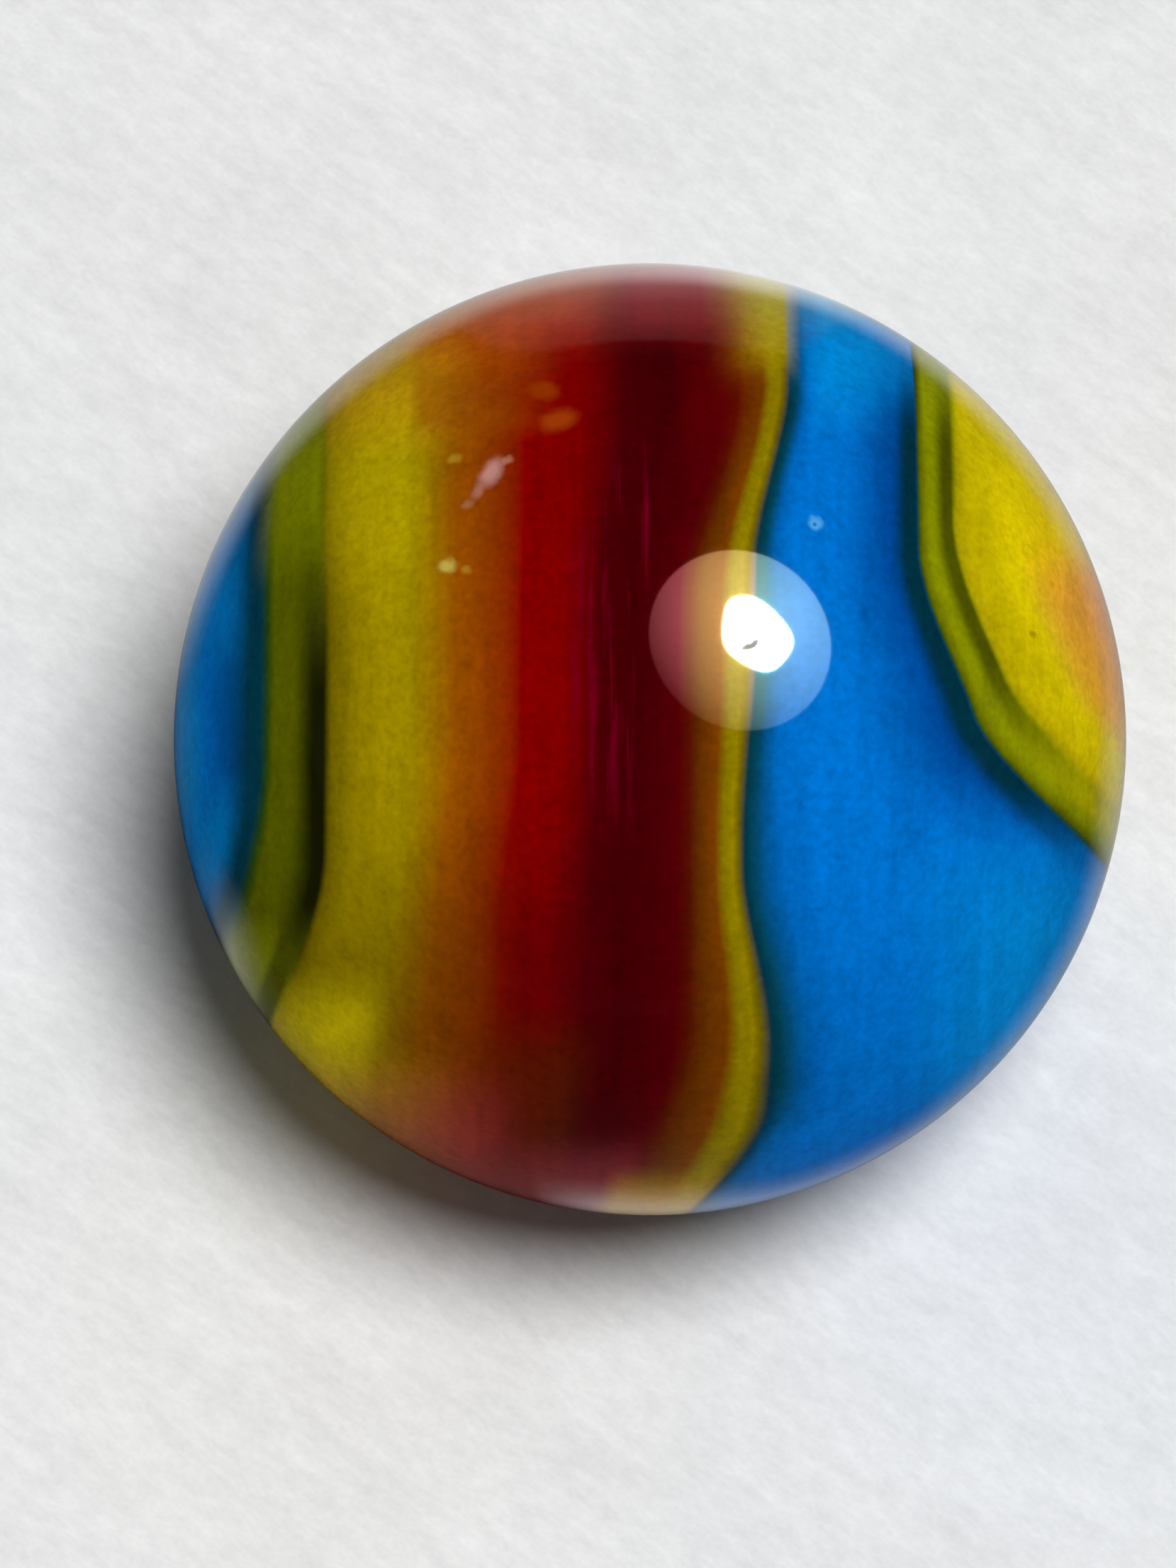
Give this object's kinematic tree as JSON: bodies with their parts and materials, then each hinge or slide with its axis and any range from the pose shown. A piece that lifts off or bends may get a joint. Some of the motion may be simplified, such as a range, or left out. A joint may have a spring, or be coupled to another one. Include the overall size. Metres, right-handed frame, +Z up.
{
  "type": "glass marble",
  "caption": "Solid glass ball with ribbons of coloured glass running right through it, for marble games, ball runs and displays.",
  "frame": {"origin": "centre of the ball", "axes": "+Z up. +X runs across the ribbons from the blue side to the yellow and orange side. The face with the full set of ribbons leans 20 degrees from +Z towards -Y"},
  "size_m": [0.016, 0.016, 0.016],
  "materials": {
    "ribbon_glass": "fire-polished opaque glass, glossy, in ribbons of blue, olive, yellow, orange, red, maroon and brown"
  },
  "bodies": {
    "root": {"marble": "ribbon_glass"}
  },
  "joints": []
}
